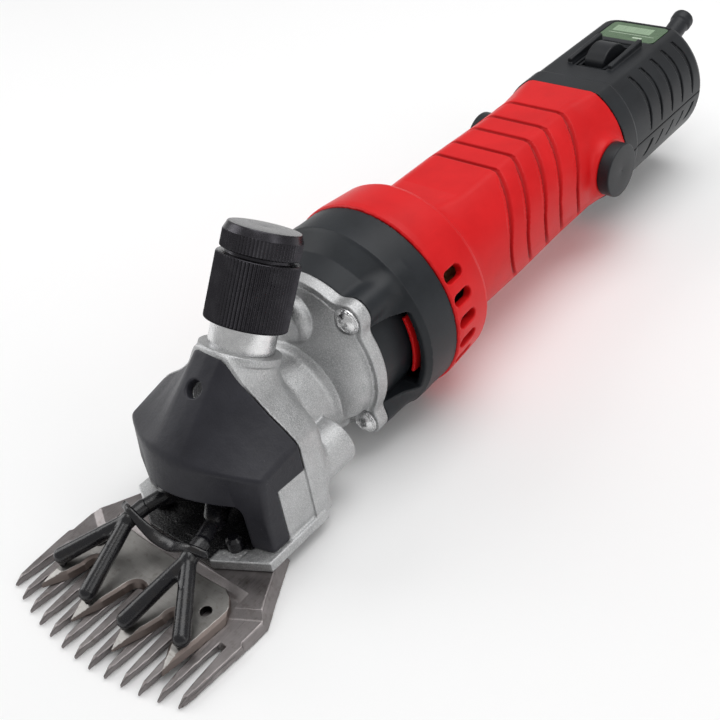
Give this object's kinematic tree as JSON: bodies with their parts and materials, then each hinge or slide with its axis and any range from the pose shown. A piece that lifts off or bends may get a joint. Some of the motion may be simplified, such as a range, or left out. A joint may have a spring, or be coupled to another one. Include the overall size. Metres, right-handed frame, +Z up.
{
  "type": "sheep shears",
  "caption": "Electric sheep shears: comb and cutter driven by a fork, knurled tension knob, cast head, fan housing, flat-topped motor grip, rear housing with rocker switch.",
  "frame": {"origin": "centre of the ground area, level with the comb's flat underside and the lowest line of the fan ring", "axes": "+Y along the motor axis from the comb towards the cord boot, +X to the right of someone holding it, +Z up"},
  "size_m": [0.0812, 0.3704, 0.0928],
  "materials": {
    "comb_steel": "ground steel with a brown-grey cast",
    "cutter_steel": "ground steel",
    "bright_steel": "bright zinc and turned steel",
    "bearing_steel": "ground steel",
    "blackened_steel": "semi-gloss blackened",
    "cast_aluminium": "bead-blasted casting",
    "guard_rubber": "satin moulded rubber",
    "boot_rubber": "matte moulded rubber",
    "anodised_black": "black anodised, straight knurl",
    "black_nylon": "fine moulded texture",
    "red_nylon": "satin moulded",
    "black_plastic": "semi-gloss",
    "laminations": "stacked sheet",
    "copper": "enamelled copper",
    "brass": "plain",
    "carbon": "pressed carbon",
    "label_film": "printed film, no lettering"
  },
  "bodies": {
    "housing": {"comb": "comb_steel", "comb_screws": "blackened_steel", "centre_post": "bright_steel", "head_casting": "cast_aluminium", "rubber_guard": "guard_rubber", "tension_sleeve": "bright_steel", "flange_screws": "bright_steel", "flange_washers": "bright_steel", "crank_front_bearing": "bearing_steel", "crank_rear_bearing": "bearing_steel", "fan_housing": "black_nylon", "front_bearing": "bearing_steel", "rear_bearing": "bearing_steel", "stator_core": "laminations", "field_coils": "copper", "motor_housing": "red_nylon", "brush_holders": "brass", "carbon_brushes": "carbon", "brush_springs": "bright_steel", "brush_caps": "black_plastic", "rear_housing_upper": "black_nylon", "rear_housing_lower": "black_nylon", "housing_screws": "bright_steel", "switch_body": "black_plastic", "label_plate": "label_film", "cord_boot": "boot_rubber", "cord_clamp": "black_nylon", "clamp_screws": "bright_steel"},
    "armature": {"armature_shaft": "bright_steel", "armature_core": "laminations", "armature_windings": "copper", "commutator": "copper", "fan": "black_nylon"},
    "crank": {"drive_gear": "bearing_steel", "crankshaft": "bright_steel", "crank_roller": "bearing_steel"},
    "fork": {"fork": "blackened_steel", "fork_cup": "bright_steel", "foot_left": "blackened_steel", "foot_right": "blackened_steel", "retaining_clip": "blackened_steel", "cutter": "cutter_steel"},
    "tension_pin": {"tension_pin": "bright_steel"},
    "tension_nut": {"tension_nut": "anodised_black"},
    "lock_cap": {"lock_cap": "anodised_black"},
    "rocker": {"switch_rocker": "black_plastic"}
  },
  "joints": [
    {"name": "armature_spin", "type": "hinge", "parent": "housing", "child": "armature", "pos_m": [0, -0.04, 0.0354], "axis": [0, 1, 0], "continuous": true},
    {"name": "crank_spin", "type": "hinge", "parent": "housing", "child": "crank", "pos_m": [0, -0.04, 0.0234], "axis": [0, 1, 0], "continuous": true},
    {"name": "fork_swing", "type": "hinge", "parent": "housing", "child": "fork", "pos_m": [0, -0.118, 0.0264], "axis": [0, 0, 1], "range_deg": [-3.08, 3.08]},
    {"name": "tension_travel", "type": "slide", "parent": "housing", "child": "tension_pin", "axis": [0, 0.5358, 0.8443], "range_m": [0, 0.0045]},
    {"name": "tension_turn", "type": "hinge", "parent": "tension_pin", "child": "tension_nut", "pos_m": [0, -0.0954, 0.0621], "axis": [0, 0.5358, 0.8443], "range_deg": [0, 1081]},
    {"name": "lock_turn", "type": "hinge", "parent": "tension_nut", "child": "lock_cap", "pos_m": [0, -0.0954, 0.0621], "axis": [0, 0.5358, 0.8443], "range_deg": [0, 90]},
    {"name": "rocker_tilt", "type": "hinge", "parent": "housing", "child": "rocker", "pos_m": [0, 0.114, 0.0534], "axis": [1, 0, 0], "range_deg": [0, 14]}
  ],
  "couplings": [
    {"joint": "crank_spin", "follows": "armature_spin", "ratio": -0.2},
    {"joint": "tension_turn", "follows": "tension_travel", "rad_per_m": 4188.8}
  ]
}
